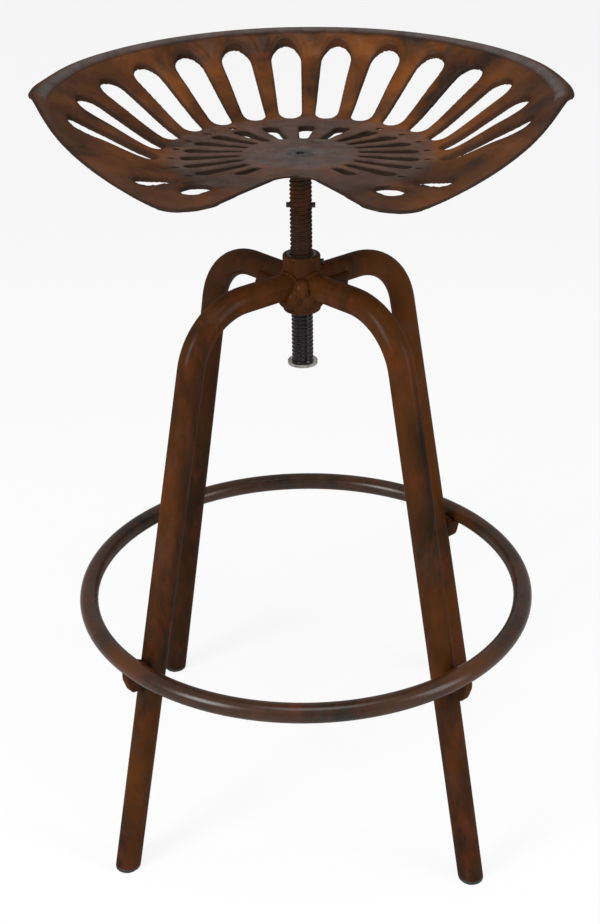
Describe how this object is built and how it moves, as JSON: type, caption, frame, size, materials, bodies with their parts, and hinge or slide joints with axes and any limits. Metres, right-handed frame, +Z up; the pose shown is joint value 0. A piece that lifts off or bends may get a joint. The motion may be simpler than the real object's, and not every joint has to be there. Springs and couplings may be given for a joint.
{
  "type": "tractor seat stool",
  "caption": "Bar stool with a pressed, slotted tractor-style seat on a screw spindle, splayed bent tube legs and a round footrest; the seat turns and rises on its thread.",
  "frame": {"origin": "on the floor, on the spindle's axis, midway between the feet", "axes": "+Z up along the spindle, the seat's open front faces -Y, +X to the right of the picture"},
  "size_m": [0.4856, 0.473, 0.7684],
  "materials": {
    "rust_paint": "antique rust-brown paint, darker in patches, semi-gloss",
    "pan_paint": "antique rust-brown paint worn grey-brown on the rim and in the middle",
    "spindle_paint": "brown over black oiled thread",
    "dark_steel": "blackened",
    "bush_steel": "dull, oiled",
    "bright_steel": "zinc-plated",
    "black_plastic": "matt moulded plug"
  },
  "bodies": {
    "base": {"hub_sleeve": "rust_paint", "threaded_bush": "bush_steel", "hub_lock_screw": "dark_steel", "footrest_ring": "rust_paint", "leg_front_left": "rust_paint", "leg_front_right": "rust_paint", "leg_back_left": "rust_paint", "leg_back_right": "rust_paint", "foot_plug_front_left": "black_plastic", "foot_plug_front_right": "black_plastic", "foot_plug_back_left": "black_plastic", "foot_plug_back_right": "black_plastic", "ring_lug_front_left": "rust_paint", "ring_lug_front_right": "rust_paint", "ring_lug_back_left": "rust_paint", "ring_lug_back_right": "rust_paint", "hub_web_front": "rust_paint", "hub_web_right": "rust_paint", "hub_web_back": "rust_paint", "hub_web_left": "rust_paint"},
    "lift": {"end_washer": "bright_steel"},
    "seat": {"spindle": "spindle_paint", "cross_pin": "rust_paint", "end_screw": "dark_steel", "seat_flange": "rust_paint", "seat_screw": "dark_steel", "seat_pan": "pan_paint"}
  },
  "joints": [
    {"name": "seat_rise", "type": "slide", "parent": "base", "child": "lift", "axis": [0, 0, 1], "range_m": [-0.044, 0.052]},
    {"name": "seat_turn", "type": "hinge", "parent": "lift", "child": "seat", "pos_m": [0, 0, 0.573], "axis": [0, 0, 1], "range_deg": [-3960, 4680]}
  ],
  "couplings": [
    {"joint": "seat_rise", "follows": "seat_turn", "m_per_rad": 0.00063662}
  ]
}
